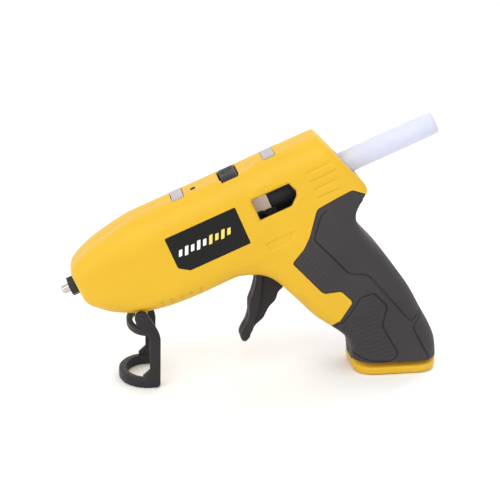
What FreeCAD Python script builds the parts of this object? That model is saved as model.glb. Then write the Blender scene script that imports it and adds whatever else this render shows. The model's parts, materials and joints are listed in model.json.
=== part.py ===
import FreeCAD, Part
import math
import os
from FreeCAD import Vector as V

os.makedirs("parts", exist_ok=True)

# Cordless glue gun for 11 mm sticks. Millimetres, +Z up, nozzle towards -X, mid-plane y = 0.
# The origin is the centre of the base on the resting surface.
# The barrel frame has s along the barrel from the nozzle's tip, y across, and t square to both.

TILT = 23.1                    # barrel axis, nozzle down, degrees
TIP = V(-162.1, 0, 45.9)       # nozzle tip
WALL = 2.8                     # housing wall
COVER = 1.2                    # rubber cover thickness
HALF_WIDTH = 18.5              # barrel half width
BARREL_TOP = 20.5              # above the barrel axis
BARREL_BOTTOM = -30.5          # below the barrel axis
TOP_RADIUS = 14.0
BOTTOM_RADIUS = 14.0
GRIP_CORNER = 11.0             # plan corner radius of the grip
STICK_R = 5.6
STICK_START, STICK_END = 36.0, 196.1
BORE_R = 5.9
TRIGGER_PIVOT = (-62.0, 58.0)
DRIVE_PIN = (102.0, -4.4)      # s, t in the barrel frame
STAND_PIVOT = (-125.2, 35.6)
STAND_LEG = (14.2, 17.2)       # leg thickness range in y
LEG_RELIEF = [(-125.2, 33.0), (-125.2, 40.0), (-121.9, 40.9), (-119.4, 40.6), (-115.5, 37.9), (-112.0, 34.0)]
BASE_BAND = 5.2
BATTERY_FOOT = (-4.0, 15.0)
BATTERY_LEAN = 34.2            # degrees from vertical
BATTERY_R, BATTERY_LEN = 9.2, 65.0
BUTTON_S = 95.3

# Side outline of the housing as (kind, points); neighbouring runs share their end points.
OUTLINE = [
    ("line", [(-151.9, 43.4), (-157.7, 56.7)]),
    ("curve", [(-157.7, 56.7), (-156.9, 59.6), (-153.6, 63.8), (-147.8, 69.2), (-139.3, 75.2), (-127.8, 82.8)]),
    ("line", [(-127.8, 82.8), (-91.0, 98.5), (-85.1, 99.9), (-74.0, 104.6), (-68.9, 107.9), (-41.6, 119.5),
              (-39.7, 119.1), (-21.6, 100.4)]),
    ("curve", [(-21.6, 100.4), (-18.6, 97.8), (-17.3, 94.6), (-19.2, 90.8), (-21.9, 86.9), (-22.8, 82.8),
               (-17.8, 73.1), (-9.2, 63.6), (-1.5, 53.8), (6.0, 43.2), (12.1, 32.0), (17.1, 23.1),
               (19.8, 16.5), (21.0, 8.9)]),
    ("line", [(21.0, 8.9), (21.0, 2.6)]),
    ("curve", [(21.0, 2.6), (20.2, 0.8), (18.4, 0.0)]),
    ("line", [(18.4, 0.0), (-18.4, 0.0)]),
    ("curve", [(-18.4, 0.0), (-20.2, 0.8), (-21.0, 2.6)]),
    ("line", [(-21.0, 2.6), (-21.0, 8.0)]),
    ("curve", [(-21.0, 8.0), (-21.8, 13.0), (-24.6, 18.2), (-29.0, 22.6), (-34.0, 25.8), (-39.5, 29.4),
               (-50.0, 39.8), (-56.8, 47.2), (-62.0, 51.2), (-68.0, 53.2), (-73.7, 52.9)]),
    ("curve", [(-73.7, 52.9), (-84.0, 49.1), (-97.0, 43.6), (-109.6, 39.0), (-119.0, 37.0), (-129.3, 36.0),
               (-138.0, 36.8), (-145.5, 39.0), (-149.8, 41.0), (-151.9, 43.4)]),
]

# Horizontal sections of the grip: height, front x, rear x, half width.
GRIP_SECTIONS = [
    (0.0, -21.0, 21.0, 16.6), (2.4, -21.2, 21.2, 17.0), (8.0, -21.2, 21.2, 17.0), (16.0, -24.0, 20.3, 16.7),
    (24.0, -33.0, 17.0, 16.7), (32.0, -44.0, 12.6, 16.9), (42.0, -55.0, 7.2, 17.1), (52.0, -80.0, 0.4, 17.5),
    (63.6, -82.0, -8.8, 17.9), (73.1, -82.0, -17.2, 18.2), (84.0, -82.0, -20.5, 18.4), (94.0, -70.0, -16.6, 18.4),
]

# Side view of the rubber cover on the grip.
COVER_REGION = [
    (-25.2, 95.6), (-41.4, 87.1), (-42.2, 85.4), (-45.0, 73.6), (-47.5, 67.5), (-52.6, 61.0), (-52.8, 59.7),
    (-38.5, 44.5), (-36.8, 43.7), (-29.0, 44.5), (-24.0, 39.7), (-23.6, 38.3), (-28.7, 30.3), (-36.0, 21.5),
    (-40.0, BASE_BAND), (30.0, BASE_BAND), (30.0, 60.0), (-12.0, 90.0), (-23.1, 95.1),
]

# Screw bosses at (x, z).
SCREWS = [(-122.6, 41.6), (-130.5, 73.8), (-56.0, 106.8), (-27.8, 87.5), (13.0, 10.0), (-36.0, 34.0), (-86.0, 54.4)]
SCREW_R, PILOT_R, BOSS_R = 1.2, 1.26, 3.3

# Label, window and small recess on the side, in the barrel frame (s, t).
LABEL = [(55.8, 8.2), (92.0, 8.2), (92.0, -11.3), (60.8, -11.3), (55.8, -7.8)]
WINDOW = [(100.4, 7.6), (119.4, 7.6), (121.2, 2.9), (120.4, 0.5), (116.6, -3.0), (100.4, -3.0)]
RECESS = [(97.8, -14.4), (113.6, -14.4), (109.6, -19.3), (98.6, -19.3)]


def frame(shape):
    """Move a shape from the barrel frame to the gun's frame."""
    s = shape.copy()
    s.rotate(V(0, 0, 0), V(0, 1, 0), -TILT)
    s.translate(TIP)
    return s


def cyl_s(r, s0, s1, y=0.0, t=0.0):
    return Part.makeCylinder(r, s1 - s0, V(s0, y, t), V(1, 0, 0))


def cone_s(r0, r1, s0, s1):
    return Part.makeCone(r0, r1, s1 - s0, V(s0, 0, 0), V(1, 0, 0))


def box(x0, x1, y0, y1, z0, z1):
    return Part.makeBox(x1 - x0, y1 - y0, z1 - z0, V(x0, y0, z0))


def cyl_y(r, x, z, y0, y1):
    return Part.makeCylinder(r, y1 - y0, V(x, y0, z), V(0, 1, 0))


def flat(points, y0, y1):
    """Plate from a side-view polygon."""
    wire = Part.makePolygon([V(x, y0, z) for x, z in points + points[:1]])
    return Part.Face(wire).extrude(V(0, y1 - y0, 0))


def bar(x0, z0, r0, x1, z1, r1, y0, y1):
    """Plate with round ends, from circle to circle."""
    d = math.hypot(x1 - x0, z1 - z0)
    a = math.atan2(z1 - z0, x1 - x0)
    b = math.acos((r0 - r1) / d)
    pts = []
    for x, z, r, q in ((x0, z0, r0, a + b), (x1, z1, r1, a + b), (x1, z1, r1, a - b), (x0, z0, r0, a - b)):
        pts.append((x + r * math.cos(q), z + r * math.sin(q)))
    return flat(pts, y0, y1).fuse([cyl_y(r0, x0, z0, y0, y1), cyl_y(r1, x1, z1, y0, y1)]).removeSplitter()


def run_wire(runs, y=0.0):
    edges = []
    for kind, pts in runs:
        vs = [V(x, y, z) for x, z in pts]
        if kind == "curve":
            c = Part.BSplineCurve()
            c.interpolate(vs)
            edges.append(c.toShape())
        else:
            for a, b in zip(vs, vs[1:]):
                edges.append(Part.makeLine(a, b))
    return Part.Wire(edges)


def inset_face(face, inset):
    """The face drawn in by inset, with its curves taken as short straight runs."""
    pts = []
    for edge in face.makeOffset2D(-inset).OuterWire.OrderedEdges:
        n = 2 if edge.Curve.TypeId == "Part::GeomLine" else max(2, int(edge.Length / 2.5) + 1)
        for q in edge.discretize(n)[:-1]:
            if not pts or (q - pts[-1]).Length > 0.4:
                pts.append(q)
    return Part.Face(Part.makePolygon(pts + pts[:1]))


def side_body(inset):
    face = Part.Face(run_wire(OUTLINE))
    if inset:
        face = inset_face(face, inset)
    body = face.extrude(V(0, 44, 0))
    body.translate(V(0, -22, 0))
    return body


def arc(cy, cz, r, a0, a1, x):
    p = []
    for a in (a0, (a0 + a1) / 2, a1):
        q = math.radians(a)
        p.append(V(x, cy + r * math.cos(q), cz + r * math.sin(q)))
    return Part.Arc(p[0], p[1], p[2]).toShape()


def prism(inset, s0=-5.0, s1=160.0):
    """Barrel form with rounded top and bottom, in the barrel frame."""
    w, hi, lo = HALF_WIDTH - inset, BARREL_TOP - inset, BARREL_BOTTOM + inset
    a, b = TOP_RADIUS - inset, BOTTOM_RADIUS - inset
    ya, yb = w - a, w - b
    edges = [
        Part.makeLine(V(s0, -ya, hi), V(s0, ya, hi)), arc(ya, hi - a, a, 90, 0, s0),
        Part.makeLine(V(s0, w, hi - a), V(s0, w, lo + b)), arc(yb, lo + b, b, 0, -90, s0),
        Part.makeLine(V(s0, yb, lo), V(s0, -yb, lo)), arc(-yb, lo + b, b, -90, -180, s0),
        Part.makeLine(V(s0, -w, lo + b), V(s0, -w, hi - a)), arc(-ya, hi - a, a, 180, 90, s0),
    ]
    return Part.Face(Part.Wire(edges)).extrude(V(s1 - s0, 0, 0))


def nose_plan(inset):
    """Plan view of the barrel with the nose drawn in."""
    side = [(8, 10.4), (9.4, 12.4), (13, 14.4), (22, 16.6), (46, 18.6)]
    side = [(s + inset * (1 if s < 9 else 0), y - inset) for s, y in side]
    up = Part.BSplineCurve()
    up.interpolate([V(s, y, -70) for s, y in side])
    down = Part.BSplineCurve()
    down.interpolate([V(s, -y, -70) for s, y in reversed(side)])
    e = side[-1][1]
    edges = [up.toShape(), Part.makePolygon([V(46, e, -70), V(170, e, -70), V(170, -e, -70), V(46, -e, -70)]),
             down.toShape(), Part.makeLine(V(side[0][0], -side[0][1], -70), V(side[0][0], side[0][1], -70))]
    return Part.Face(Part.Wire(edges)).extrude(V(0, 0, 140))


def grip_loft(inset):
    wires = []
    for z, xf, xr, w in GRIP_SECTIONS:
        x0, x1, hw, r = xf + inset, xr - inset, w - inset, GRIP_CORNER - inset
        e = []
        corners = [(x1 - r, hw - r, 0), (x0 + r, hw - r, 90), (x0 + r, -hw + r, 180), (x1 - r, -hw + r, 270)]
        last = None
        for cx, cy, a in corners:
            p = []
            for k in (0, 45, 90):
                q = math.radians(a + k)
                p.append(V(cx + r * math.cos(q), cy + r * math.sin(q), z))
            if last is not None:
                e.append(Part.makeLine(last, p[0]))
            else:
                first = p[0]
            e.append(Part.Arc(p[0], p[1], p[2]).toShape())
            last = p[2]
        e.append(Part.makeLine(last, first))
        wires.append(Part.Wire(e))
    return Part.makeLoft(wires, True, True)


def form(inset):
    """Outside form of the whole gun, drawn in by inset."""
    barrel = frame(prism(inset).common(nose_plan(inset)))
    return barrel.fuse(grip_loft(inset)).common(side_body(inset))


OUTER = form(0)
INNER = form(WALL)
UNDER_COVER = form(COVER + 0.1)
REGION = flat(COVER_REGION, -25, 25)
LEFT = box(-200, 60, -30, 0, -5, 150)
RIGHT = box(-200, 60, 0, 30, -5, 150)
FLAP_SEAT = box(8, 26, -6.15, 6.15, 14.05, 22.15)


def ribs():
    """Cross ribs that carry the heater, the inlet sleeve and the rear guide."""
    solids = []
    for s0, s1, hole in ((18.4, 20.4, 10.26), (50.6, 52.4, 12.56), (75.0, 77.0, 7.76), (135.6, 137.6, 10.06)):
        plate = box(s0, s1, -19, 19, -27, 20).cut(cyl_s(hole, s0 - 1, s1 + 1))
        plate = plate.cut(box(s0 - 1, s1 + 1, -15.0, -11.4, -12, -2))
        solids.append(frame(plate))
    return solids


def half_housing(side):
    """One clamshell half: side is -1 for left and +1 for right."""
    half = LEFT if side < 0 else RIGHT
    skin = OUTER.cut(REGION).fuse(UNDER_COVER.common(REGION)).cut(INNER)
    extra = ribs()
    for x, z in SCREWS:
        extra.append(cyl_y(BOSS_R if side < 0 else BOSS_R + 0.9, x, z, -17, 17))
    for y in (-1, 1):
        extra.append(cyl_y(3.4, TRIGGER_PIVOT[0], TRIGGER_PIVOT[1], min(y * 11.3, y * 17), max(y * 11.3, y * 17)))
    extra.append(frame(cyl_y(2.0, 124.5, -16.5, -17, 17)))
    extra.append(frame(box(108, 130, -17, -1.65, -12.2, -10.9)))
    extra.append(frame(box(108, 130, 1.65, 17, -12.2, -10.9)))
    for y in (-1, 1):
        extra.append(frame(box(86, 102, min(y * 8.4, y * 17), max(y * 8.4, y * 17), 8.75, 9.6)))
    body = skin.fuse([e.common(UNDER_COVER) for e in extra])
    lugs = []
    for y0, y1 in ((-13.6, -8.0), (8.0, 13.6)):
        lugs.append(bar(STAND_PIVOT[0], STAND_PIVOT[1], 3.4, STAND_PIVOT[0] + 1, STAND_PIVOT[1] + 5.5, 3.3, y0, y1))
    for i in range(5):
        x = -111.5 + 6 * i
        lugs.append(cyl_y(2.8, x, 39.8 + 0.385 * (x + 109.6) + 1.3, -6.5, 6.5))
    body = body.fuse(lugs).common(half)
    cuts = [
        frame(cyl_s(5.3, -4, 13)), frame(cyl_s(7.4, 137.6, 170)),
        frame(flat(WINDOW, -20, -12)), frame(flat(WINDOW, 12, 20)),
        frame(flat(RECESS, -20, -18.1)), frame(flat(RECESS, 18.1, 20)),
        frame(flat(LABEL, -20, -18.15)), frame(flat(LABEL, 18.15, 20)),
        frame(box(BUTTON_S - 4.3, BUTTON_S + 4.3, -10.8, 10.8, 15.2, 25)),
        frame(box(66.3, 72.3, -8.15, 8.15, 12.0, 25)), frame(box(113.3, 119.5, -7.65, 7.65, 12.0, 25)),
        frame(Part.makeCylinder(1.42, 12, V(77.5, -3.6, 14), V(0, 0, 1))),
        box(-73.6, -47.4, -6.8, 6.8, 36, 57.2),
        cyl_y(4.5, STAND_PIVOT[0], STAND_PIVOT[1], 13.7, 20), cyl_y(4.5, STAND_PIVOT[0], STAND_PIVOT[1], -20, -13.7),
        flat(LEG_RELIEF, 13.9, 20), flat(LEG_RELIEF, -20, -13.9),
        cyl_y(1.28, STAND_PIVOT[0], STAND_PIVOT[1], -20, 20),
        cyl_y(1.53, TRIGGER_PIVOT[0], TRIGGER_PIVOT[1], -14.1, 14.1),
        cyl_y(4.55, TRIGGER_PIVOT[0], TRIGGER_PIVOT[1], -11.25, 11.25),
        box(12, 24, -4.7, 4.7, 16.3, 20.1),
    ]
    for i in range(4):
        s0, t0 = 129.3 + 0.3 * i, (8.4, 3.9, -0.3, -4.9)[i]
        for y0, y1 in ((-20, -18.05), (18.05, 20)):
            cuts.append(frame(box(s0, s0 + 12.2, y0, y1, t0 - 0.6, t0 + 0.6)))
    for x, z in SCREWS:
        if side < 0:
            cuts.append(cyl_y(PILOT_R, x, z, -12, 1))
        else:
            cuts.append(cyl_y(SCREW_R + 0.35, x, z, -1, 20))
            cuts.append(cyl_y(2.9, x, z, 8.0, 20))
    return body.cut(cuts)


def grip_cover(side):
    """Soft rubber skin over one side of the grip."""
    half = LEFT if side < 0 else RIGHT
    skin = OUTER.cut(form(COVER)).common(REGION).common(half).cut(FLAP_SEAT)
    if side > 0:
        skin = skin.cut([cyl_y(2.9, x, z, 8, 20) for x, z in SCREWS])
    return skin


def label(side):
    pts = [(s + 0.1 if s < 70 else s - 0.1, t - 0.1 if t > 0 else t + 0.1) for s, t in LABEL]
    return frame(flat(pts, -18.6, -18.16) if side < 0 else flat(pts, 18.16, 18.6))


def nozzle_tip():
    body = cone_s(1.1, 2.15, 0, 1.4).fuse([cyl_s(2.15, 1.4, 5), cyl_s(3.4, 5, 17.4)])
    return frame(body.cut(cyl_s(0.8, -1, 18)))


def nozzle_sleeve():
    pts = [(4.9 * math.cos(math.radians(30 + 60 * k)), 4.9 * math.sin(math.radians(30 + 60 * k))) for k in range(7)]
    hexagon = Part.Face(Part.makePolygon([V(4.3, y, t) for y, t in pts])).extrude(V(6.3, 0, 0))
    return frame(hexagon.cut([cyl_s(3.45, 4.9, 12), cyl_s(2.25, 3, 6)]))


def heating_barrel():
    body = cyl_s(6.4, 13, 16).fuse([cyl_s(8.6, 15.5, 57), box(20.7, 45.5, -6.2, 6.2, -13, -5)])
    for s in (24, 28, 32, 36, 40, 44):
        body = body.cut(cyl_s(9.5, s, s + 1.6).cut(cyl_s(7.9, s, s + 1.6)).common(box(s, s + 2, -10, 10, -4, 10)))
    cuts = [cyl_s(3.44, 10, 17.5), cone_s(3.44, BORE_R, 17.4, 26), cyl_s(BORE_R, 26, 58),
            box(21.9, 49, -4.7, 4.7, -11.6, -9.0)]
    return frame(body.cut(cuts))


def heater_element():
    return frame(box(22.1, 43.0, -4.6, 4.6, -11.5, -9.1))


def heater_clip():
    outer = box(28, 38, -7.0, 7.0, -13.8, -6.1)
    return frame(outer.cut(box(27, 39, -6.25, 6.25, -13.05, -4)))


def thermal_fuse():
    return frame(cyl_s(1.3, 25.5, 33.5, 0, 10.2).fuse([cyl_s(0.35, 23.8, 25.5, 0, 10.2), cyl_s(0.35, 33.5, 35.4, 0, 10.2)]))


def mount_ring(s0, s1, r, groove):
    ring = cyl_s(r, s0, s1).cut(cyl_s(8.65, s0 - 1, s1 + 1))
    return frame(ring) if groove is None else frame(ring.cut(groove))


def inlet_sleeve():
    body = cyl_s(7.7, 57.2, 80).fuse(cyl_s(8.6, 57.2, 60)).fuse(cone_s(7.7, 7.0, 80, 81.5))
    return frame(body.cut(cyl_s(BORE_R, 57, 82)))


def glue_stick():
    body = cyl_s(STICK_R, STICK_START, STICK_END)
    return frame(body.makeChamfer(0.35, [e for e in body.Edges if len(e.Vertexes) == 1]))


def rear_guide():
    body = cyl_s(10.0, 133, 139.4).cut(cyl_s(6.2, 132, 140))
    return frame(body.cut(cone_s(6.2, 7.6, 138, 139.5)))


def feed_carriage():
    body = cyl_s(8.5, 108.4, 126).fuse([
        box(99, 110, -8.9, -6.6, -7.4, -2.7), box(99, 110, 6.6, 8.9, -7.4, -2.7),
        box(112, 124, -1.5, 1.5, -12.0, -7.5)])
    cuts = [cyl_s(6.15, 97, 128), cyl_s(1.0, 116, 118, 0, 20)]
    for y0, y1 in ((-9, -6), (6, 9)):
        cuts.append(cyl_y(1.52, DRIVE_PIN[0], DRIVE_PIN[1], y0, y1))
    return frame(body.cut(cuts))


def drive_pins():
    pins = []
    for y0, y1, h0, h1 in ((-11.3, -6.7, -11.9, -11.3), (6.7, 11.3, 11.3, 11.9)):
        pins.append(cyl_y(1.5, *DRIVE_PIN, y0, y1).fuse(cyl_y(2.2, *DRIVE_PIN, h0, h1)))
    return frame(Part.makeCompound(pins))


def feed_jaw():
    body = box(100, 107.9, -9.0, 9.0, -2.3, 5.2).fuse(box(100, 107.9, -6.6, 6.6, 5.2, 8.0))
    return frame(body.cut(cyl_s(6.1, 99, 109)).cut(box(99, 109, -5.5, 5.5, -3, 0)))


def trigger():
    """Finger pad, thin rear web, hub and the two fork arms."""
    px, pz = TRIGGER_PIVOT
    front = [(-68.4, 56.0), (-68.6, 47.0), (-70.3, 40.8), (-72.0, 36.1), (-72.1, 30.8), (-73.0, 26.3),
             (-74.6, 21.6), (-75.3, 17.6), (-74.6, 14.4), (-73.4, 14.0)]
    step = [(-72.4, 17.4), (-71.0, 22.6), (-69.0, 28.3), (-67.5, 31.4), (-65.8, 37.9), (-65.3, 44.5), (-65.2, 56.0)]
    rear = [(-72.2, 17.0), (-70.2, 20.4), (-66.9, 25.6), (-64.2, 28.6), (-61.8, 33.4), (-59.0, 36.2),
            (-57.8, 40.4), (-54.6, 44.0), (-55.6, 56.0)]
    pad_face = Part.Face(run_wire([("curve", front), ("line", [front[-1], step[0]]), ("curve", step),
                                   ("line", [step[-1], front[0]])]))
    pad = pad_face.extrude(V(0, 12.4, 0))
    pad.translate(V(0, -6.2, 0))
    web_face = Part.Face(run_wire([("curve", front), ("line", [front[-1], rear[0]]), ("curve", rear),
                                   ("line", [rear[-1], front[0]])]))
    web = web_face.extrude(V(0, 6.4, 0))
    web.translate(V(0, -3.2, 0))
    hub = cyl_y(4.2, px, pz, -11.0, 11.0)
    pin = frame(Part.Vertex(DRIVE_PIN[0], 0, DRIVE_PIN[1])).Point
    lug = frame(Part.Vertex(98.8, 0, -16.5)).Point
    parts = [web, hub, bar(px, pz, 3.6, lug.x, lug.z, 2.0, -1.3, 1.3)]
    for y0, y1 in ((-11.0, -9.2), (9.2, 11.0)):
        parts.append(bar(px, pz, 4.2, pin.x, pin.z, 2.9, y0, y1))
    body = pad.fuse(parts)
    a = math.atan2(pin.z - pz, pin.x - px)
    dx, dz = 0.8 * math.cos(a), 0.8 * math.sin(a)
    slot = bar(pin.x + dx, pin.z + dz, 1.62, pin.x - dx, pin.z - dz, 1.619, -12, 12)
    return body.cut([slot, cyl_y(1.56, px, pz, -12, 12), cyl_y(0.6, lug.x, lug.z, -2, 2)])


def trigger_pin():
    return cyl_y(1.5, *TRIGGER_PIVOT, -13.9, 13.9)


def trigger_spring():
    """Tension coil between the trigger's lug and a post in the housing."""
    helix = Part.makeHelix(1.5, 18.0, 1.9)
    circle = Part.Wire(Part.makeCircle(0.35, V(1.9, 0, 0), V(0, 1, 0)))
    coil = Part.Wire(helix).makePipeShell([circle], True, True)
    coil.rotate(V(0, 0, 0), V(0, 1, 0), 90)
    coil.translate(V(102.6, 0, -16.5))
    return frame(coil)


def power_button():
    b = BUTTON_S
    cap = box(b - 4.0, b + 4.0, -10.5, 10.5, 15.2, 22).common(prism(0.1))
    cap = cap.cut(box(b - 2.8, b + 2.8, -8.6, 8.6, 15, 18.5)).fuse(box(b - 1.6, b + 1.6, -2, 2, 15.25, 19.0))
    flanges = [box(b - 5.4, b - 4.0, -8, 8, 15.2, 16.2), box(b + 4.0, b + 5.4, -8, 8, 15.2, 16.2)]
    return frame(cap.fuse(flanges).removeSplitter())


def tact_switch():
    body = box(BUTTON_S - 3, BUTTON_S + 3, -3, 3, 11.35, 13.8)
    return frame(body.fuse(Part.makeCylinder(1.7, 1.0, V(BUTTON_S, 0, 13.7), V(0, 0, 1))))


def control_board():
    board = box(83, 105, -12.6, 12.6, 9.65, 11.25)
    chips = [box(99.4, 103.4, 3, 9, 11.2, 12.7), box(84.5, 88.5, -9.5, -4, 11.2, 13.0), box(84.5, 87.5, 4, 9, 11.2, 12.6)]
    return frame(board.fuse(chips).removeSplitter())


def top_lens(s0, s1, w):
    return frame(box(s0, s1, -w, w, 12.5, 23).common(prism(-0.2)).cut(prism(2.4)))


def indicator_lens():
    return frame(Part.makeCylinder(1.35, 4.4, V(77.5, -3.6, 16.3), V(0, 0, 1)))


def grip_axis(shape):
    s = shape.copy()
    s.rotate(V(0, 0, 0), V(0, 1, 0), -BATTERY_LEAN)
    s.translate(V(BATTERY_FOOT[0], 0, BATTERY_FOOT[1]))
    return s


def battery_cell():
    body = Part.makeCylinder(BATTERY_R, BATTERY_LEN - 1.2)
    body = body.makeFillet(0.8, [e for e in body.Edges if len(e.Vertexes) == 1])
    return grip_axis(body.fuse(Part.makeCylinder(3.2, 1.4, V(0, 0, BATTERY_LEN - 1.4))))


def battery_tabs():
    top = box(-5, 5, -3.2, 3.2, BATTERY_LEN + 0.1, BATTERY_LEN + 0.6)
    low = box(-5, 5, -3.2, 3.2, -0.6, -0.1)
    return grip_axis(Part.makeCompound([top, low]))


def charging_socket():
    shell = box(10.6, 17.0, -4.45, 4.45, 16.5, 19.8)
    shell = shell.makeFillet(1.2, [e for e in shell.Edges if abs(e.tangentAt(0).x) > 0.9])
    hollow = box(11.8, 17.4, -4.1, 4.1, 16.85, 19.45)
    return shell.cut(hollow).fuse(box(11.2, 15.9, -3.3, 3.3, 17.8, 18.5))


def charging_board():
    return box(7.4, 16.4, -8, 8, 15.3, 16.4)


def charging_flap():
    plate = flat([(20.1, 14.35), (17.45, 22.0), (16.75, 21.75), (19.4, 14.15)], -6, 6)
    return plate.fuse(box(16.2, 18.6, -3.8, 3.8, 17.1, 19.2)).removeSplitter()


def housing_screws():
    screws = []
    for x, z in SCREWS:
        head = cyl_y(2.6, x, z, 8.05, 10.2).cut(flat([(x - 1.9, z - 0.35), (x + 1.9, z - 0.35), (x + 1.9, z + 0.35),
                                                      (x - 1.9, z + 0.35)], 9.2, 11))
        head = head.cut(flat([(x - 0.35, z - 1.9), (x + 0.35, z - 1.9), (x + 0.35, z + 1.9), (x - 0.35, z + 1.9)], 9.2, 11))
        screws.append(head.fuse(cyl_y(SCREW_R, x, z, -10, 8.1)))
    return Part.makeCompound(screws)


def half_ring(cx, a0, b0, a1, b1, z0, z1):
    """Front half of an elliptical ring in plan."""
    def half_disc(a, b, lo, hi):
        e = Part.Ellipse(V(0, 0, 0), max(a, b), min(a, b)).toShape()
        d = Part.Face(Part.Wire(e)).extrude(V(0, 0, hi - lo))
        if b > a:
            d.rotate(V(0, 0, 0), V(0, 0, 1), 90)
        d.translate(V(cx, 0, lo))
        return d
    ring = half_disc(a0, b0, z0, z1).cut(half_disc(a1, b1, z0 - 1, z1 + 1))
    return ring.common(box(cx - 40, cx, -40, 40, z0 - 1, z1 + 1))


def stand():
    """Two legs joined by a bow at the foot and a smaller bow under the pivots."""
    kx, kz = STAND_PIVOT
    leg = [(-119.8, 34.0), (-117.2, 28.3), (-116.3, 25.4), (-116.4, 24.0), (-116.9, 1.4), (-118.4, 0.0), (-125.0, 0.0),
           (-131.0, 4.8), (-126.6, 4.8), (-121.8, 9.2), (-121.4, 24.3), (-122.4, 27.2), (-125.6, 32.0)]
    parts = []
    for y0, y1 in ((-STAND_LEG[1], -STAND_LEG[0]), STAND_LEG):
        parts.append(flat(leg, y0, y1))
        parts.append(bar(kx, kz, 3.4, -120.6, 30.2, 3.0, y0, y1))
    web = box(-123.0, -117.0, -17.2, -13.4, 0.0, 4.8).fuse(box(-123.0, -117.0, 13.4, 17.2, 0.0, 4.8))
    tips = []
    for y in (-1, 1):
        tips.append(flat([(-140, -1), (-125.2, -1), (-125.2, 12), (-140, 12)], min(y * 10, y * 20), max(y * 10, y * 20)))
    body = parts[0].fuse(parts[1:])
    body = body.cut([t for t in tips])
    foot = half_ring(-122.0, 14.0, 17.2, 10.1, 13.4, 0.0, 4.8)
    upper = half_ring(-122.8, 9.0, 17.2, 6.2, 14.2, 26.8, 30.4)
    body = body.fuse([web, foot, upper])
    return body.cut(cyl_y(1.32, kx, kz, -20, 20))


def stand_pivot_pin():
    return cyl_y(1.25, *STAND_PIVOT, -17.0, 17.0)


def wire_run(points, r):
    """Round lead along straight runs joined by tangent arcs."""
    pts = [V(*p) for p in points]
    edges, last = [], pts[0]
    for i in range(1, len(pts) - 1):
        a, b = pts[i - 1] - pts[i], pts[i + 1] - pts[i]
        la, lb = a.Length, b.Length
        a.normalize()
        b.normalize()
        half = a.getAngle(b) / 2
        cut = 0.45 * min(la, lb)
        mid = a + b
        mid.normalize()
        radius = cut * math.tan(half)
        inner = pts[i] + mid * (cut / math.cos(half) - radius)
        p, q = pts[i] + a * cut, pts[i] + b * cut
        edges.append(Part.makeLine(last, p))
        edges.append(Part.Arc(p, inner, q).toShape())
        last = q
    edges.append(Part.makeLine(last, pts[-1]))
    circle = Part.Wire(Part.makeCircle(r, pts[0], pts[1] - pts[0]))
    return Part.Wire(edges).makePipeShell([circle], True, True)


def heater_wires():
    """Two leads from the heater's end, past the ribs on the left, to the board's front edge."""
    lower = [(43.2, -3.3, -10.3), (46.6, -3.5, -10.4), (47.0, -13.2, -9.9), (51, -13.4, -9.8), (62, -13.3, -9.6), (74, -13.3, -9.5),
             (80.2, -13.2, -5.5), (82.4, -12.6, 2.0), (84.4, -8.6, 9.1)]
    upper = [(43.2, -0.9, -10.3), (48.7, -1.1, -10.5), (48.9, -13.1, -7.3), (52.4, -13.3, -7.2), (62, -13.2, -7.1), (73, -13.2, -7.0),
             (78.4, -13.1, -3.5), (80.2, -12.2, 3.0), (84.4, -5.8, 9.1)]
    return frame(Part.makeCompound([wire_run(lower, 0.7), wire_run(upper, 0.7)]))


def battery_wires():
    """Two leads from the cell's upper tab up the left side to the board."""
    runs = []
    for k in (0, 1):
        d = 2.2 * k
        runs.append(wire_run([(119.2 + 0.1 * d, -4.4 - 0.9 * d, -25.9), (114 - 0.5 * d, -11.2, -21.4 + 0.4 * d),
                              (104 - 0.2 * d, -13.4, -15 + 0.9 * d), (96 + d, -13.7, -5), (93.5 + d, -13.5, 7.9)], 0.7))
    return frame(Part.makeCompound(runs))


NODES = {
    "left_housing": lambda: half_housing(-1),
    "right_housing": lambda: half_housing(1),
    "left_grip_cover": lambda: grip_cover(-1),
    "right_grip_cover": lambda: grip_cover(1),
    "left_label": lambda: label(-1),
    "right_label": lambda: label(1),
    "nozzle_tip": nozzle_tip,
    "nozzle_sleeve": nozzle_sleeve,
    "heating_barrel": heating_barrel,
    "heater_element": heater_element,
    "heater_clip": heater_clip,
    "thermal_fuse": thermal_fuse,
    "front_mount_ring": lambda: mount_ring(17.6, 21.2, 10.2, box(17, 22, -6.4, 6.4, -14, -5)),
    "rear_mount_ring": lambda: mount_ring(49.8, 53.2, 12.5, None),
    "inlet_sleeve": inlet_sleeve,
    "glue_stick": glue_stick,
    "rear_guide": rear_guide,
    "feed_carriage": feed_carriage,
    "drive_pins": drive_pins,
    "feed_jaw": feed_jaw,
    "trigger": trigger,
    "trigger_pin": trigger_pin,
    "trigger_spring": trigger_spring,
    "power_button": power_button,
    "tact_switch": tact_switch,
    "control_board": control_board,
    "front_lens": lambda: top_lens(66.45, 72.15, 8.0),
    "rear_lens": lambda: top_lens(113.45, 119.35, 7.5),
    "indicator_lens": indicator_lens,
    "battery_cell": battery_cell,
    "battery_tabs": battery_tabs,
    "charging_socket": charging_socket,
    "charging_board": charging_board,
    "charging_flap": charging_flap,
    "housing_screws": housing_screws,
    "stand": stand,
    "stand_pivot_pin": stand_pivot_pin,
    "heater_wires": heater_wires,
    "battery_wires": battery_wires,
}

for name, make in NODES.items():
    shape = make()
    print(name, shape.isValid(), len(shape.Solids), round(shape.Volume / 1000, 2))
    shape.exportStep("parts/%s.step" % name)
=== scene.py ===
import json
import math

import bpy
import numpy as np
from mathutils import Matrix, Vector
from mathutils.geometry import delaunay_2d_cdt


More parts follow.
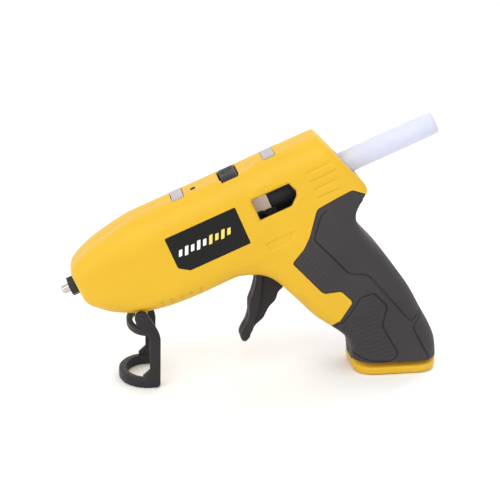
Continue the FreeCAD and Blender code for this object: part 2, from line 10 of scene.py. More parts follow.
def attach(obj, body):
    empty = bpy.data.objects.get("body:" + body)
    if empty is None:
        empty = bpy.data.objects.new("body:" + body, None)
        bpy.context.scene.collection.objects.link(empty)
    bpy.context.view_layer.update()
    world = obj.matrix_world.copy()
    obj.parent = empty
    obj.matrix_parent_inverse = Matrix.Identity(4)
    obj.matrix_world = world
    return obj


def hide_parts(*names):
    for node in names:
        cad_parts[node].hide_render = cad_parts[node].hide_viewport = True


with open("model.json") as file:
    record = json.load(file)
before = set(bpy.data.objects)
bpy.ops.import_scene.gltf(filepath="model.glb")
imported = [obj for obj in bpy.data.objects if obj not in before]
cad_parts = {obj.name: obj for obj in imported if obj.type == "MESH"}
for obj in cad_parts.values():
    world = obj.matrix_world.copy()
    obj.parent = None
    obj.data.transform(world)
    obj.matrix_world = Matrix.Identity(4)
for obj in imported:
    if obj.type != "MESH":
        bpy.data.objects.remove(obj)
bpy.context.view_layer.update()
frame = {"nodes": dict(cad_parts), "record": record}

MM = 0.001
TILT = math.radians(23.1)
CT, ST = math.cos(TILT), math.sin(TILT)
TIP = (-162.1, 45.9)
HALF_WIDTH, BARREL_TOP, BARREL_BOTTOM = 18.5, 20.5, -30.5
TOP_RADIUS, BOTTOM_RADIUS, GRIP_CORNER = 14.0, 14.0, 11.0
BASE_BAND = 5.2
STICK_R = 5.6
TRIGGER_PIVOT = (-62.0, 58.0)
STAND_PIVOT = (-125.2, 35.6)
BUTTON_S = 95.3
WELL_R, WELL_FLOOR = 2.9, 8.2
WELL_RINGS = (2.4, 1.7)
WALL_LEVELS = 8


# ---------------------------------------------------------------- plane geometry (millimetres)

def to_st(p):
    dx, dz = p[:, 0] - TIP[0], p[:, 1] - TIP[1]
    return np.stack([dx * CT + dz * ST, -dx * ST + dz * CT], 1)


def to_xz(pts):
    return [(TIP[0] + s * CT - t * ST, TIP[1] + s * ST + t * CT) for s, t in pts]


def spline(pts, step):
    """Centripetal Catmull-Rom through the points, sampled about every step."""
    p = [np.array(q, float) for q in pts]
    p = [2 * p[0] - p[1]] + p + [2 * p[-1] - p[-2]]
    out = []
    for i in range(1, len(p) - 2):
        p0, p1, p2, p3 = p[i - 1:i + 3]
        k = [0.0]
        for a, b in ((p0, p1), (p1, p2), (p2, p3)):
            k.append(k[-1] + max(np.linalg.norm(b - a), 1e-6) ** 0.5)
        n = max(2, int(round(np.linalg.norm(p2 - p1) / step)))
        for j in range(n):
            t = k[1] + (k[2] - k[1]) * j / n
            a1 = (k[1] - t) / (k[1] - k[0]) * p0 + (t - k[0]) / (k[1] - k[0]) * p1
            a2 = (k[2] - t) / (k[2] - k[1]) * p1 + (t - k[1]) / (k[2] - k[1]) * p2
            a3 = (k[3] - t) / (k[3] - k[2]) * p2 + (t - k[2]) / (k[3] - k[2]) * p3
            b1 = (k[2] - t) / (k[2] - k[0]) * a1 + (t - k[0]) / (k[2] - k[0]) * a2
            b2 = (k[3] - t) / (k[3] - k[1]) * a2 + (t - k[1]) / (k[3] - k[1]) * a3
            out.append(tuple((k[2] - t) / (k[2] - k[1]) * b1 + (t - k[1]) / (k[2] - k[1]) * b2))
    out.append(tuple(p[-2]))
    return out


def straight(pts, step):
    out = []
    for a, b in zip(pts, pts[1:]):
        n = max(1, int(round(math.dist(a, b) / step)))
        for j in range(n):
            out.append((a[0] + (b[0] - a[0]) * j / n, a[1] + (b[1] - a[1]) * j / n))
    out.append(tuple(pts[-1]))
    return out


def runs_to_polys(runs, step):
    """Sampled polyline of each run, and the closed polygon of them all."""
    lines = [(spline if r[0] == "curve" else straight)(r[1], step) for r in runs]
    poly = []
    for line in lines:
        poly += line[:-1]
    return lines, poly


def rounded(pts, r, n=5):
    """Closed polygon with each corner rounded by r."""
    out = []
    m = len(pts)
    for i in range(m):
        a, b, c = (np.array(pts[(i + k) % m], float) for k in (-1, 0, 1))
        u, v = a - b, c - b
        lu, lv = np.linalg.norm(u), np.linalg.norm(v)
        u, v = u / lu, v / lv
        cut = min(r, 0.45 * lu, 0.45 * lv)
        for k in range(n + 1):
            q = k / n
            out.append(tuple(b + u * cut * (1 - q) ** 2 + v * cut * q ** 2))
    return out


def inside(p, poly):
    x, y = p[:, 0], p[:, 1]
    res = np.zeros(len(p), bool)
    n = len(poly)
    for i in range(n):
        x0, y0 = poly[i]
        x1, y1 = poly[(i + 1) % n]
        if y0 == y1:
            continue
        hit = ((y0 > y) != (y1 > y)) & (x < (x1 - x0) * (y - y0) / (y1 - y0) + x0)
        res ^= hit
    return res


def line_dist(p, line, closed=False):
    """Distance from each point to a polyline."""
    q = np.array(line, float)
    a, b = (q, np.roll(q, -1, 0)) if closed else (q[:-1], q[1:])
    best = np.full(len(p), 1e9)
    for i in range(len(a)):
        d = b[i] - a[i]
        l2 = float(d @ d)
        w = p - a[i]
        k = np.clip(w @ d / l2, 0, 1) if l2 > 1e-12 else np.zeros(len(p))
        r = w - k[:, None] * d
        best = np.minimum(best, r[:, 0] ** 2 + r[:, 1] ** 2)
    return np.sqrt(best)


def sdist(p, poly):
    """Signed distance to a closed polygon, positive inside."""
    d = line_dist(p, poly, True)
    return np.where(inside(p, poly), d, -d)


def ramp(d, a, b):
    """0 at a, 1 at b, smooth between."""
    k = np.clip((d - a) / (b - a), 0, 1)
    return k * k * (3 - 2 * k)


def inset_poly(poly, d):
    """Polygon moved inwards by d at each corner."""
    area = sum(a[0] * b[1] - b[0] * a[1] for a, b in zip(poly, poly[1:] + poly[:1]))
    sign = 1 if area > 0 else -1
    out = []
    n = len(poly)
    for i in range(n):
        a, b, c = (np.array(poly[(i + k) % n], float) for k in (-1, 0, 1))
        u, v = b - a, c - b
        u, v = u / (np.linalg.norm(u) + 1e-9), v / (np.linalg.norm(v) + 1e-9)
        nu, nv = np.array([-u[1], u[0]]) * sign, np.array([-v[1], v[0]]) * sign
        m = nu + nv
        m = m / max(1 + float(nu @ nv), 0.35)
        out.append(tuple(b + m * d))
    return out


def triangulate(poly, holes, lines, step, edge_offsets, keep=None):
    """Triangles of the polygon less its holes; lines are (points, closed) that the mesh follows."""
    pts, edges = [], []

    def add_line(line, closed):
        k = len(pts)
        pts.extend(line)
        n = len(line)
        for i in range(n if closed else n - 1):
            edges.append((k + i, k + (i + 1) % n))

    add_line(poly, True)
    for h in holes:
        add_line(h, True)
    for line, closed in lines:
        add_line(line, closed)
    fixed = [(poly, True)] + [(h, True) for h in holes] + lines
    q = np.array(poly)
    lo, hi = q.min(0), q.max(0)
    extra = []
    rows = int((hi[1] - lo[1]) / (step * 0.866)) + 1
    for j in range(rows):
        xs = np.arange(lo[0] + (j % 2) * step / 2, hi[0], step)
        extra.append(np.stack([xs, np.full(len(xs), lo[1] + j * step * 0.866)], 1))
    extra = np.concatenate(extra)
    d_in = sdist(extra, poly)
    last = edge_offsets[-1] if edge_offsets else 0.0
    extra = extra[d_in > max(last + 0.4 * step, 0.45 * step)]
    ring = []
    n = len(q)
    area = sum(a[0] * b[1] - b[0] * a[1] for a, b in zip(poly, poly[1:] + poly[:1]))
    sign = 1 if area > 0 else -1
    tang = np.roll(q, -1, 0) - np.roll(q, 1, 0)
    nrm = np.stack([-tang[:, 1], tang[:, 0]], 1) * sign
    nrm /= np.linalg.norm(nrm, axis=1)[:, None] + 1e-12
    for k, off in enumerate(edge_offsets):
        c = q + nrm * off
        ok = sdist(c, poly) > off * 0.93
        ring.append(c[ok])
    cand = np.concatenate([extra] + ring)
    near = np.full(len(cand), 1e9)
    for line, closed in fixed[1:]:
        near = np.minimum(near, line_dist(cand, line, closed))
    cand = cand[near > 0.3 * step]
    if keep is not None:
        cand = cand[keep(cand)]
    allp = [Vector((float(x), float(y))) for x, y in pts] + [Vector((float(x), float(y))) for x, y in cand]
    v, _, f, *_ = delaunay_2d_cdt(allp, edges, [], 0, 1e-5)
    v = np.array([(a.x, a.y) for a in v])
    tri = np.array([t for t in f if len(t) == 3])
    c = v[tri].mean(1)
    ok = inside(c, poly)
    for h in holes:
        ok &= ~inside(c, h)
    tri = tri[ok]
    a, b, c = v[tri[:, 0]], v[tri[:, 1]], v[tri[:, 2]]
    cross = (b[:, 0] - a[:, 0]) * (c[:, 1] - a[:, 1]) - (b[:, 1] - a[:, 1]) * (c[:, 0] - a[:, 0])
    tri = tri[np.abs(cross) > 1e-7]
    cross = cross[np.abs(cross) > 1e-7]
    tri[cross < 0] = tri[cross < 0][:, ::-1]
    return v, tri


def border(tri):
    """Directed border edges of a triangle list."""
    count = {}
    for t in tri:
        for a, b in ((t[0], t[1]), (t[1], t[2]), (t[2], t[0])):
            count[(int(a), int(b))] = 1
    return [e for e in count if (e[1], e[0]) not in count]


# ---------------------------------------------------------------- mesh objects

def new_mesh(name, verts, faces, sharp=40, body="gun"):
    """Mesh object from millimetre points; body None leaves it loose."""
    used = sorted({i for f in faces for i in f})
    back = {old: new for new, old in enumerate(used)}
    mesh = bpy.data.meshes.new(name)
    mesh.from_pydata([tuple(float(c) * MM for c in verts[i]) for i in used], [],
                     [[back[i] for i in f] for f in faces])
    mesh.validate()
    mesh.shade_smooth()
    mesh.set_sharp_from_angle(angle=math.radians(sharp))
    obj = bpy.data.objects.new(name, mesh)
    bpy.context.scene.collection.objects.link(obj)
    if body:
        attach(obj, body)
    return obj


def slab(poly, y0, y1, r, step, holes=(), lines=(), dish=None):
    """Plate between y0 and y1 with rounded edges, as (verts, faces)."""
    offs = [r * k for k in (0.06, 0.22, 0.5, 0.95)] if r > 0 else []
    v, tri = triangulate(poly, list(holes), list(lines), step, offs)
    d = line_dist(v, poly, True)
    for h in holes:
        d = np.minimum(d, line_dist(v, h, True) * 3 + 0.2 * r)
    c, w = (y0 + y1) / 2, (y1 - y0) / 2
    k = np.clip(r - d, 0, r)
    h = w - (r - np.sqrt(np.maximum(r * r - k * k, 0)))
    if dish is not None:
        h = h - dish(v)
    n = len(v)
    verts = [(x, c - a, z) for (x, z), a in zip(v, h)] + [(x, c + a, z) for (x, z), a in zip(v, h)]
    faces = [tuple(int(i) for i in t) for t in tri] + [tuple(int(i) + n for i in t[::-1]) for t in tri]
    for a, b in border(tri):
        faces.append((b, a, a + n, b + n))
    return verts, faces


def join(*parts):
    verts, faces = [], []
    for v, f in parts:
        k = len(verts)
        verts += list(v)
        faces += [tuple(i + k for i in g) for g in f]
    return verts, faces


def lathe(profile, n=64, centre=(0.0, 0.0)):
    """Solid of revolution about the barrel axis; profile is (s, radius)."""
    verts, faces = [], []
    for s, r in profile:
        for k in range(n):
            a = 2 * math.pi * k / n
            y, t = centre[0] + r * math.cos(a), centre[1] + r * math.sin(a)
            (x, z), = to_xz([(s, t)])
            verts.append((x, y, z))
    m = len(profile)
    for i in range(m - 1):
        for k in range(n):
            a, b = i * n + k, i * n + (k + 1) % n
            faces.append((a, b, b + n, a + n))
    if profile[0][1] > 0 and profile[0] != profile[-1]:
        faces.append(tuple(range(n))[::-1])
        faces.append(tuple((m - 1) * n + k for k in range(n)))
    return verts, faces


def circle(cx, cz, r, n=40, a0=0.0, a1=2 * math.pi, closed=True):
    angles = [a0 + (a1 - a0) * k / n for k in range(n if closed else n + 1)]
    return [(cx + r * math.cos(a), cz + r * math.sin(a)) for a in angles]


# ---------------------------------------------------------------- outline and body form

# Runs of the side outline: kind, points, then the edge rounding as one radius or as (x, radius) pairs.
OUTLINE = [
    ("line", [(-151.9, 43.4), (-157.7, 56.7)], 3.2),
    ("curve", [(-157.7, 56.7), (-156.9, 59.6), (-153.6, 63.8), (-147.8, 69.2), (-139.3, 75.2),
               (-127.8, 82.8)],
     [(-157.0, 6.5), (-148.0, 6.0), (-136.0, 3.2), (-128.0, 0.3)]),
    ("line", [(-127.8, 82.8), (-91.0, 98.5)], 0.3),
    ("curve", [(-91.0, 98.5), (-88.2, 99.3), (-85.1, 100.0)], 0.3),
    ("line", [(-85.1, 100.0), (-74.0, 104.6)], 0.3),
    ("curve", [(-74.0, 104.6), (-71.2, 106.3), (-68.9, 107.9), (-66.2, 109.1)], 0.3),
    ("line", [(-66.2, 109.1), (-42.2, 119.4)], 0.3),
    ("curve", [(-42.2, 119.4), (-40.7, 119.8), (-39.4, 119.0)], 1.6),
    ("line", [(-39.4, 119.0), (-22.4, 101.4)], 2.2),
    ("curve", [(-22.4, 101.4), (-20.6, 99.9), (-18.6, 97.8), (-17.4, 95.2), (-17.7, 92.8), (-19.2, 90.8)],
     2.6),
    ("curve", [(-19.2, 90.8), (-21.4, 87.4), (-22.7, 82.8), (-21.4, 77.9), (-17.8, 73.1), (-9.2, 63.6),
               (-1.5, 53.8), (6.0, 43.2), (12.1, 32.0), (17.1, 23.1), (19.8, 16.5), (21.0, 8.9)], 0.8),
    ("line", [(21.0, 8.9), (21.0, 2.6)], 0.8),
    ("curve", [(21.0, 2.6), (20.2, 0.8), (18.4, 0.0)], 1.4),
    ("line", [(18.4, 0.0), (-18.4, 0.0)], 1.6),
    ("curve", [(-18.4, 0.0), (-20.2, 0.8), (-21.0, 2.6)], 1.4),
    ("line", [(-21.0, 2.6), (-21.0, 8.0)], 0.8),
    ("curve", [(-21.0, 8.0), (-21.8, 13.0), (-24.6, 18.2), (-29.0, 22.6), (-34.0, 25.8), (-39.5, 29.4)], 1.4),
    ("curve", [(-39.5, 29.4), (-50.0, 39.8), (-56.8, 47.2), (-62.0, 51.2), (-68.0, 53.2), (-73.7, 52.9)],
     [(-73.7, 8.0), (-60.0, 6.0), (-50.0, 3.4), (-39.5, 1.8)]),
    ("curve", [(-73.7, 52.9), (-84.0, 49.1), (-97.0, 43.6), (-109.6, 39.0), (-119.0, 37.0), (-129.3, 36.0),
               (-138.0, 36.8), (-145.5, 39.0), (-149.8, 41.0), (-151.9, 43.4)],
     [(-152.0, 4.0), (-146.0, 7.0), (-134.0, 9.5), (-116.0, 8.0), (-96.0, 6.0), (-74.0, 8.0)]),
]
# Sections of the grip: height, front x, rear x, half width.
SECTIONS = np.array([
    (-2.0, -21.2, 21.2, 17.0), (2.4, -21.2, 21.2, 17.0), (8.0, -21.2, 21.2, 17.0), (16.0, -24.0, 20.3, 16.8),
    (24.0, -33.0, 17.0, 16.7), (32.0, -44.0, 12.6, 16.8), (42.0, -55.0, 7.2, 17.0), (52.0, -80.0, 0.4, 17.4),
    (63.6, -84.0, -8.8, 17.9), (73.1, -86.0, -17.2, 18.2), (84.0, -86.0, -20.5, 18.4),
    (94.0, -80.0, -16.6, 18.4), (104.0, -70.0, -12.6, 18.4)])
NOSE = np.array(spline([(7.0, 9.6), (8.4, 11.4), (11, 13.2), (15, 14.9), (22, 16.6), (32, 17.9), (46, 18.5),
                        (60, 18.5)], 1.0))
COVER_REGION = [
    (-25.2, 95.6), (-32.4, 92.0), (-41.4, 87.1), (-42.2, 85.4), (-45.0, 73.6), (-47.5, 67.5), (-52.6, 61.0),
    (-52.8, 59.7),
    (-38.5, 44.5), (-36.8, 43.7), (-29.0, 44.5), (-24.0, 39.7), (-23.6, 38.3), (-28.7, 30.3), (-36.0, 21.5),
    (-40.0, BASE_BAND), (30.0, BASE_BAND), (30.0, 60.0), (-12.0, 90.0), (-23.1, 95.1),
]
LABEL = [(55.8, 8.2), (92.0, 8.2), (92.0, -11.3), (60.8, -11.3), (55.8, -7.8)]
WINDOW = [(100.4, 7.6), (119.4, 7.6), (121.2, 2.9), (120.4, 0.5), (116.6, -3.0), (100.4, -3.0)]
RECESS = [(97.8, -14.4), (113.6, -14.4), (109.6, -19.3), (98.6, -19.3)]
SCREWS = [(-122.6, 41.6), (-130.5, 73.8), (-56.0, 106.8), (-27.8, 87.5), (13.0, 10.0), (-36.0, 34.0),
          (-86.0, 54.4)]

LINES, OUT = runs_to_polys(OUTLINE, 0.8)
FRONT_X = np.array(spline([(a, b) for a, b in SECTIONS[:, [0, 1]]], 0.5))
REAR_X = np.array(spline([(a, b) for a, b in SECTIONS[:, [0, 2]]], 0.5))
HALF_W = np.array(spline([(a, b) for a, b in SECTIONS[:, [0, 3]]], 0.5))


def corner(d, r):
    """How far a rounding of radius r drops at d in from its edge."""
    k = np.clip(r - d, 0, r)
    return r - np.sqrt(np.maximum(r * r - k * k, 0))


def half_width(p):
    """Half width of the gun's outside at each side-view point."""
    st = to_st(p)
    s, t = st[:, 0], st[:, 1]
    side = np.interp(s, NOSE[:, 0], NOSE[:, 1])
    barrel = side - corner(BARREL_TOP - t, TOP_RADIUS) - corner(t - BARREL_BOTTOM, BOTTOM_RADIUS)
    barrel = np.where(t < BARREL_BOTTOM, side - BOTTOM_RADIUS - 3 * (BARREL_BOTTOM - t), barrel)
    x, z = p[:, 0], p[:, 1]
    xf = np.interp(z, FRONT_X[:, 0], FRONT_X[:, 1])
    xr = np.interp(z, REAR_X[:, 0], REAR_X[:, 1])
    hw = np.interp(z, HALF_W[:, 0], HALF_W[:, 1])
    grip = hw - corner(np.maximum(x - xf, 0), GRIP_CORNER) - corner(np.maximum(xr - x, 0), GRIP_CORNER)
    grip = np.where((x < xf - 0.5) | (z > 100), -5.0, grip)
    k = 2.4
    h = np.maximum(k - np.abs(barrel - grip), 0) / k
    w = np.minimum(np.maximum(barrel, grip) + h * h * k / 4, HALF_WIDTH)
    drop = np.zeros(len(p))
    for line, run in zip(LINES, OUTLINE):
        r = np.interp(x, *zip(*run[2])) if isinstance(run[2], list) else run[2]
        drop = np.maximum(drop, corner(line_dist(p, line), r))
    return np.maximum(w - drop, 0.6)


def wall_end(p):
    """How near the mid-plane the wall along the outline comes, openings included."""
    st = to_st(p)
    s, t = st[:, 0], st[:, 1]
    end = np.full(len(p), 0.04)
    nose = (s < 14) & (np.abs(t) < 5.3)
    end = np.where(nose, np.sqrt(np.maximum(5.3 ** 2 - t ** 2, 0)), end)
    rear = (s > 130) & (np.abs(t) < 7.4)
    end = np.where(rear, np.sqrt(np.maximum(7.4 ** 2 - t ** 2, 0)), end)
    slot = (p[:, 0] > -73.6) & (p[:, 0] < -47.4) & (p[:, 1] > 36) & (p[:, 1] < 57.2)
    end = np.where(slot, 6.8, end)
    for s0, s1 in ((BUTTON_S - 4.3, BUTTON_S + 4.3), (66.3, 72.3), (113.3, 119.5)):
        end = np.where((s > s0) & (s < s1) & (t > 15), 30.0, end)
    return end


def half_shell(v, tri, h, side, skip=None, wells=()):
    """Field of half widths plus the wall that runs from its edge to the mid-plane."""
    verts = [(x, -a, z) for (x, z), a in zip(v, h)]
    faces = [tuple(int(i) for i in t) for t in tri]
    edge = [e for e in border(tri)]
    ids = sorted({i for e in edge for i in e})
    on = line_dist(v[ids], OUT, True) < 2e-3
    on_line = {i for i, ok in zip(ids, on) if ok}
    end = wall_end(v[ids])
    stop = dict(zip(ids, end))
    tang = {}
    for a, b in edge:
        if a in on_line and b in on_line:
            d = v[b] - v[a]
            d = d / (np.linalg.norm(d) + 1e-9)
            for i in (a, b):
                tang[i] = tang.get(i, 0) + d
    cols = {}
    for i in on_line:
        if i not in tang or (skip is not None and skip(v[i])):
            continue
        h0, e = h[i], stop[i]
        if e >= h0 - 0.02:
            continue
        n = np.array([tang[i][1], -tang[i][0]])
        n = n / (np.linalg.norm(n) + 1e-9)
        seam = e < 0.1
        col = [i]
        for k in range(1, WALL_LEVELS + 1):
            y = h0 + (max(e, 0.35 if seam else e) - h0) * k / WALL_LEVELS
            col.append(len(verts))
            verts.append((v[i][0], -y, v[i][1]))
        if seam:
            col.append(len(verts))
            verts.append((v[i][0] - n[0] * 0.22, -e, v[i][1] - n[1] * 0.22))
        cols[i] = col
    for a, b in edge:
        if a in cols and b in cols:
            ca, cb = cols[a], cols[b]
            for k in range(WALL_LEVELS):
                faces.append((cb[k], ca[k], ca[k + 1], cb[k + 1]))
            if min(len(ca), len(cb)) == WALL_LEVELS + 2:
                faces.append((cb[-2], ca[-2], ca[-1], cb[-1]))
    for cx, cz in wells:
        rim = {i for i in ids if abs(math.hypot(v[i][0] - cx, v[i][1] - cz) - WELL_R) < 0.05}
        cols = {}
        for i in rim:
            ux, uz = (v[i][0] - cx) / WELL_R, (v[i][1] - cz) / WELL_R
            cols[i] = [i] + list(range(len(verts), len(verts) + 5))
            for k in (1, 2, 3):
                verts.append((v[i][0], -(h[i] + (WELL_FLOOR - h[i]) * k / 3), v[i][1]))
            for r in WELL_RINGS:
                verts.append((cx + ux * r, 0.1 - WELL_FLOOR, cz + uz * r))
        for a, b in edge:
            if a in cols and b in cols:
                for k in range(5):
                    faces.append((cols[b][k], cols[a][k], cols[a][k + 1], cols[b][k + 1]))
    if side > 0:
        verts = [(x, -y, z) for x, y, z in verts]
        faces = [f[::-1] for f in faces]
    return verts, faces


# ---------------------------------------------------------------- details on the side surfaces

window = rounded(to_xz(WINDOW), 0.7)
window_lip = rounded(to_xz([(99.2, 8.8), (120.2, 8.8), (122.5, 2.9), (121.5, -0.2), (117.1, -4.3),
                            (99.2, -4.3)]), 1.2)
label_edge = rounded(to_xz(LABEL), 0.8)
recess = rounded(to_xz(RECESS), 0.9)
recess_in = inset_poly(recess, 0.45)
cover_edge = rounded(COVER_REGION, 1.3)
cover_in = inset_poly(cover_edge, 0.3)
GROOVES = [to_xz([(129.0, 8.4), (141.2, 8.7)]), to_xz([(129.4, 3.9), (141.9, 4.1)]),
           to_xz([(129.6, -0.4), (141.8, 0.0)]), to_xz([(129.9, -4.8), (140.4, -5.0)])]


def notch(i):
    """Short line of finger notch i, just above the barrel's lower edge."""
    x = -113.8 + 4.7 * i
    z = float(np.interp(x, (-119.0, -109.6, -97.0, -84.0), (37.0, 39.0, 43.6, 49.1)))
    return [(x, z + 1.4), (x - 1.6, z + 5.6)]


NOTCHES = [notch(i) for i in range(5)]
BUMPS = [(-111.5 + 6 * i, 41.1 + 0.385 * (6 * i - 1.9)) for i in range(5)]
LEG_RELIEF = [(-125.2, 33.0), (-125.2, 40.0), (-121.9, 40.9), (-119.4, 40.6), (-115.5, 37.9), (-112.0, 34.0)]
relief = rounded(LEG_RELIEF, 0.6, 3)
KNUCKLE = circle(STAND_PIVOT[0], STAND_PIVOT[1], 4.5, 36)


def housing_detail(p):
    """Depth cut into the housing's side by its lips, seats and grooves."""
    d = np.zeros(len(p))
    w = sdist(p, window_lip)
    near = w > -1
    d[near] += 1.0 * np.clip(w[near] / 1.3, 0, 1)
    d += 0.34 * ramp(sdist(p, label_edge), 0.0, 0.12)
    d += 0.42 * ramp(sdist(p, recess), 0.0, 0.45)
    d += 1.25 * ramp(sdist(p, cover_edge), 0.0, 0.28)
    for g in GROOVES:
        q = line_dist(p, g)
        d += 0.5 * (1 - ramp(q, 0.1, 0.95))
    for g in NOTCHES:
        d += 0.8 * (1 - ramp(line_dist(p, g), 0.15, 0.95))
    return d


def housing(side):
    name = "left" if side < 0 else "right"
    lines = [(window_lip, True), (label_edge, True), (inset_poly(label_edge, 0.12), True), (recess, True),
             (recess_in, True), (cover_edge, True), (cover_in, True)]
    for g in GROOVES:
        a, b = np.array(g[0]), np.array(g[1])
        for off in (-0.95, -0.5, 0.0, 0.5, 0.95):
            n = np.array([-ST, CT]) * off
            lines.append((straight([tuple(a + n), tuple(b + n)], 1.2), False))
    for (ax, az), (bx, bz) in NOTCHES:
        for off in (-0.8, -0.4, 0.0, 0.4, 0.8):
            lines.append((straight([(ax + off, az + 0.4 * off), (bx + off, bz + 0.4 * off)], 0.9), False))
    for edge in (relief, KNUCKLE):
        lines += [(edge, True), (inset_poly(edge, 0.15), True)]
    holes = [window]
    for s0, s1, t0 in ((BUTTON_S - 4.3, BUTTON_S + 4.3, 19.0), (66.3, 72.3, 20.0), (113.3, 119.5, 20.14)):
        holes.append(to_xz([(s0, t0), (s1, t0), (s1, 26), (s0, 26)]))
    wells = []
    if side > 0:
        for x, z in SCREWS:
            wells.append(circle(x, z, WELL_R, 28))
    v, tri = triangulate(OUT, holes, lines + [(w, True) for w in wells], 1.15, [0.12, 0.4, 0.9, 1.7, 2.8])
    c = v[tri].mean(1)
    keep = (sdist(c, cover_edge) < 1.4) | (c[:, 1] < BASE_BAND + 0.1)
    for w in wells:
        keep &= ~inside(c, w)
    tri = tri[keep]
    h = half_width(v) - housing_detail(v)
    h = np.where(sdist(v, relief) > 0.1, np.minimum(h, 13.9), h)
    h = np.where(sdist(v, KNUCKLE) > 0.1, np.minimum(h, 13.7), h)
    verts, faces = half_shell(v, tri, h, side, skip=lambda q: sdist(np.array([q]), cover_edge)[0] > 0.02,
                              wells=SCREWS if side > 0 else ())
    obj = new_mesh(name + "_shell", verts, faces, 38)
    m = obj.modifiers.new("wall", "SOLIDIFY")
    m.thickness, m.offset = 2.0 * MM, -1
    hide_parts(name + "_housing")
    return obj


def under_parts(side):
    """Stand lug and the row of finger bumps that one housing half carries under the barrel."""
    kx, kz = STAND_PIVOT
    a = math.atan2(5.5, 1.0)
    lug = circle(kx, kz, 2.7, 22, a + math.pi / 2, a + 3 * math.pi / 2, False) + \
        circle(kx + 1, kz + 5.5, 2.7, 10, a - math.pi / 2, a + math.pi / 2, False)

    def span(y0, y1):
        return (y0, y1) if side > 0 else (-y1, -y0)

    parts = [slab(lug, *span(8.0, 13.6), 0.4, 1.2, holes=[circle(kx, kz, 1.34, 20)])]
    for x, z in BUMPS:
        parts.append(slab(circle(x, z, 2.8, 30), *span(0.05, 6.5), 0.6, 1.2))
    obj = new_mesh(("left" if side < 0 else "right") + "_under_parts", *join(*parts), sharp=45)
    return obj


GROOVE_A = rounded([(-24.8, 92.6), (-38.3, 84.8), (-40.0, 82.2), (-42.6, 72.6), (-42.0, 70.8), (-25.6, 53.9),
                    (-23.9, 53.4), (-16.9, 52.6), (-14.6, 51.1), (5.1, 28.1), (6.5, 27.5), (10.4, 31.0),
                    (13.0, 34.0)], 1.2)[6:-6]
GROOVE_B = [(11.3, 29.5), (8.4, 25.9), (7.5, 23.7), (9.4, 19.5), (14.8, 9.6), (16.6, 5.4)]
PANEL_C = [(-28.6, 27.6), (-27.3, 28.1), (-23.9, 33.0), (-19.6, 40.0), (-18.3, 41.1), (-13.8, 42.4),
           (-12.1, 42.2), (-6.7, 36.5), (-6.1, 35.0), (-7.9, 26.0), (-7.6, 24.5), (-0.3, 11.9), (-0.1, 10.4),
           (-1.2, 8.3), (-3.7, 6.9), (-12.9, 7.3), (-18.2, 8.7), (-21.7, 10.9), (-30.0, 14.0), (-40.0, 20.0)]
TIP_PANEL = [(-51.0, 59.8), (-46.9, 65.0), (-42.5, 70.0), (-25.5, 52.2), (-31.0, 46.6), (-37.8, 46.2)]


def groove(p, line, closed=False, depth=0.5, width=0.6):
    return depth * (1 - ramp(line_dist(p, line, closed), 0.0, width))


def cover_detail(p):
    d = groove(p, GROOVE_A, depth=0.75, width=0.75)
    d += groove(p, GROOVE_B, depth=0.7, width=0.7)
    d += groove(p, PANEL_C, True, depth=0.75, width=0.75)
    a = math.radians(17)
    k = (-p[:, 0] * math.sin(a) + p[:, 1] * math.cos(a)) / 2.3
    wave = 0.5 - 0.5 * np.cos(2 * math.pi * k)
    d += 0.42 * wave ** 1.5 * ramp(sdist(p, PANEL_C), 1.3, 1.9)
    a = math.radians(55)
    k = (-p[:, 0] * math.sin(a) + p[:, 1] * math.cos(a)) / 2.3
    wave = 0.5 - 0.5 * np.cos(2 * math.pi * k)
    d += 0.38 * wave ** 1.5 * ramp(sdist(p, TIP_PANEL), 0.6, 1.2)
    return d


def grip_cover(side):
    name = "left" if side < 0 else "right"
    edge = inset_poly(cover_edge, 0.14)
    lines = []
    for line, closed in ((GROOVE_A, False), (GROOVE_B, False), (PANEL_C, True)):
        lines.append((line, closed))
    sunk = [(x, z) for x, z in SCREWS if side > 0 and sdist(np.array([(x, z)]), edge)[0] > WELL_R]
    lines += [(circle(x, z, WELL_R, 28), True) for x, z in sunk]
    rims = [(edge, True)] + [(inset_poly(edge, d), True) for d in (0.16, 0.45, 0.8)]
    v, tri = triangulate(OUT, [], rims + lines, 0.62, [0.12, 0.4, 0.9, 1.7],
                         keep=lambda q: sdist(q, cover_edge) > 0.2)
    c = v[tri].mean(1)
    keep = inside(c, edge)
    for x, z in sunk:
        keep &= np.hypot(c[:, 0] - x, c[:, 1] - z) > WELL_R * 0.98
    tri = tri[keep]
    d = np.maximum(sdist(v, edge), 0)
    h = half_width(v) - corner(d, 0.8) * 1.05 - cover_detail(v)
    verts, faces = half_shell(v, tri, h, side, wells=sunk)
    obj = new_mesh(name + "_rubber", verts, faces, 50)
    m = obj.modifiers.new("wall", "SOLIDIFY")
    m.thickness, m.offset = 1.0 * MM, -1
    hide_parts(name + "_grip_cover")
    return obj


# ---------------------------------------------------------------- moving parts and small pieces

